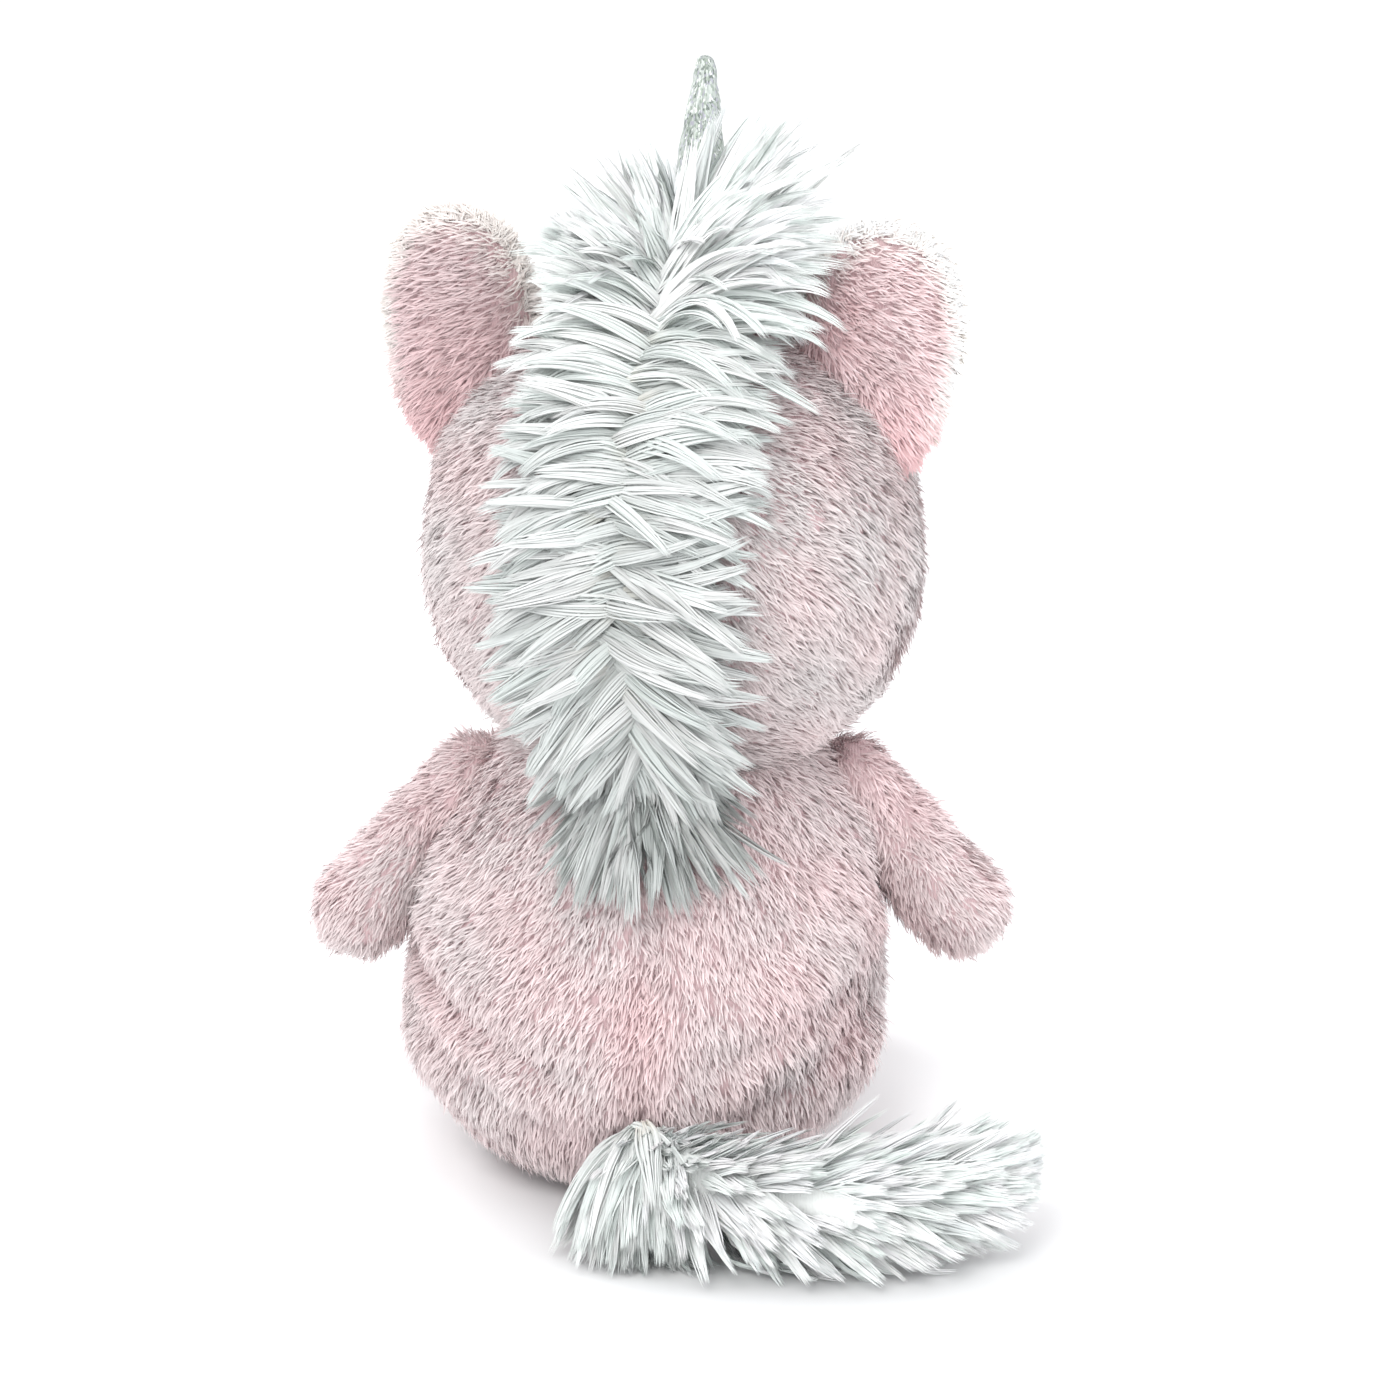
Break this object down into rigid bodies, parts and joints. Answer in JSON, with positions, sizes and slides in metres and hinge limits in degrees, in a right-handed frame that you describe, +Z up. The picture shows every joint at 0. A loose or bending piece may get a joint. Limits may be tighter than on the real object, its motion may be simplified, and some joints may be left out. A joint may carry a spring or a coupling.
{
  "type": "plush unicorn",
  "caption": "Seated plush unicorn with a silver horn, soft ears, a long shaggy mane and a bushy tail; its head, ears, arms, legs and tail flex at their seams.",
  "frame": {"origin": "the middle of the flat seat that the toy rests on", "axes": "+Z up, the face looks along -Y, the toy's own left is +X"},
  "size_m": [0.2152, 0.2414, 0.3166],
  "materials": {
    "pink_plush": "pastel pink minky-style plush, about 6 mm pile",
    "cream_plush": "cream short plush",
    "long_white_pile": "white long shaggy pile in locks",
    "silver_cloth": "silver glitter cloth",
    "backing_cloth": "knitted backing",
    "polyester_filling": "loose polyester fibre",
    "pellet_pouch": "cotton pouch of small plastic pellets",
    "thread": "satin embroidery thread",
    "eye_plastic": "polished black plastic",
    "washer_plastic": "natural plastic"
  },
  "bodies": {
    "torso": {"torso_back_left_panel": "pink_plush", "torso_back_right_panel": "pink_plush", "torso_belly_panel": "pink_plush", "seat_panel": "pink_plush", "torso_stuffing": "polyester_filling", "pellet_pouch": "pellet_pouch"},
    "neck": {"neck_stuffing": "polyester_filling"},
    "head": {"head_left_panel": "pink_plush", "head_right_panel": "pink_plush", "head_stuffing": "polyester_filling", "muzzle_cover": "cream_plush", "muzzle_stuffing": "polyester_filling", "left_eye": "eye_plastic", "right_eye": "eye_plastic", "left_eye_washer": "washer_plastic", "right_eye_washer": "washer_plastic", "nostril_stitching": "thread", "mouth_stitching": "thread", "horn_cover": "silver_cloth", "horn_stuffing": "polyester_filling", "mane_backing": "backing_cloth", "mane_pile": "long_white_pile"},
    "left_ear": {"left_ear_outer": "pink_plush", "left_ear_lining": "cream_plush"},
    "right_ear": {"right_ear_outer": "pink_plush", "right_ear_lining": "cream_plush"},
    "left_arm": {"left_arm_front_panel": "pink_plush", "left_arm_back_panel": "pink_plush", "left_arm_stuffing": "polyester_filling"},
    "right_arm": {"right_arm_front_panel": "pink_plush", "right_arm_back_panel": "pink_plush", "right_arm_stuffing": "polyester_filling"},
    "left_leg": {"left_leg_upper_panel": "pink_plush", "left_leg_lower_panel": "pink_plush", "left_sole_pad": "cream_plush", "left_leg_stuffing": "polyester_filling"},
    "right_leg": {"right_leg_upper_panel": "pink_plush", "right_leg_lower_panel": "pink_plush", "right_sole_pad": "cream_plush", "right_leg_stuffing": "polyester_filling"},
    "tail": {"tail_backing": "backing_cloth", "tail_pile": "long_white_pile"}
  },
  "joints": [
    {"name": "head_turn", "type": "hinge", "parent": "torso", "child": "neck", "pos_m": [-0.0045, 0, 0.118], "axis": [0, 0, 1], "range_deg": [-20, 20], "stiffness_Nm_per_rad": 0.5},
    {"name": "head_nod", "type": "hinge", "parent": "neck", "child": "head", "pos_m": [-0.0045, 0, 0.118], "axis": [0.9848, -0.1736, 0], "range_deg": [-8, 10], "stiffness_Nm_per_rad": 1.5},
    {"name": "left_ear_fold", "type": "hinge", "parent": "head", "child": "left_ear", "pos_m": [0.0443, -0.0094, 0.23547], "axis": [0.6716, -0.1184, -0.7314], "range_deg": [-25, 25], "stiffness_Nm_per_rad": 0.02},
    {"name": "right_ear_fold", "type": "hinge", "parent": "head", "child": "right_ear", "pos_m": [-0.0623, 0.0094, 0.23547], "axis": [0.6716, -0.1184, 0.7314], "range_deg": [-25, 25], "stiffness_Nm_per_rad": 0.02},
    {"name": "left_arm_lift", "type": "hinge", "parent": "torso", "child": "left_arm", "pos_m": [0.05, -0.002, 0.114], "axis": [0, -1, 0], "range_deg": [0, 70], "stiffness_Nm_per_rad": 0.04},
    {"name": "right_arm_lift", "type": "hinge", "parent": "torso", "child": "right_arm", "pos_m": [-0.06, -0.002, 0.114], "axis": [0, 1, 0], "range_deg": [0, 70], "stiffness_Nm_per_rad": 0.04},
    {"name": "left_leg_lift", "type": "hinge", "parent": "torso", "child": "left_leg", "pos_m": [0.036, -0.055, 0.026], "axis": [-0.9703, -0.2419, 0], "range_deg": [0, 20], "stiffness_Nm_per_rad": 0.06},
    {"name": "right_leg_lift", "type": "hinge", "parent": "torso", "child": "right_leg", "pos_m": [-0.036, -0.055, 0.026], "axis": [-0.9703, 0.2419, 0], "range_deg": [0, 20], "stiffness_Nm_per_rad": 0.06},
    {"name": "tail_swing", "type": "hinge", "parent": "torso", "child": "tail", "pos_m": [0, 0.069, 0.028], "axis": [0, 0, 1], "range_deg": [-30, 8], "stiffness_Nm_per_rad": 0.03}
  ]
}
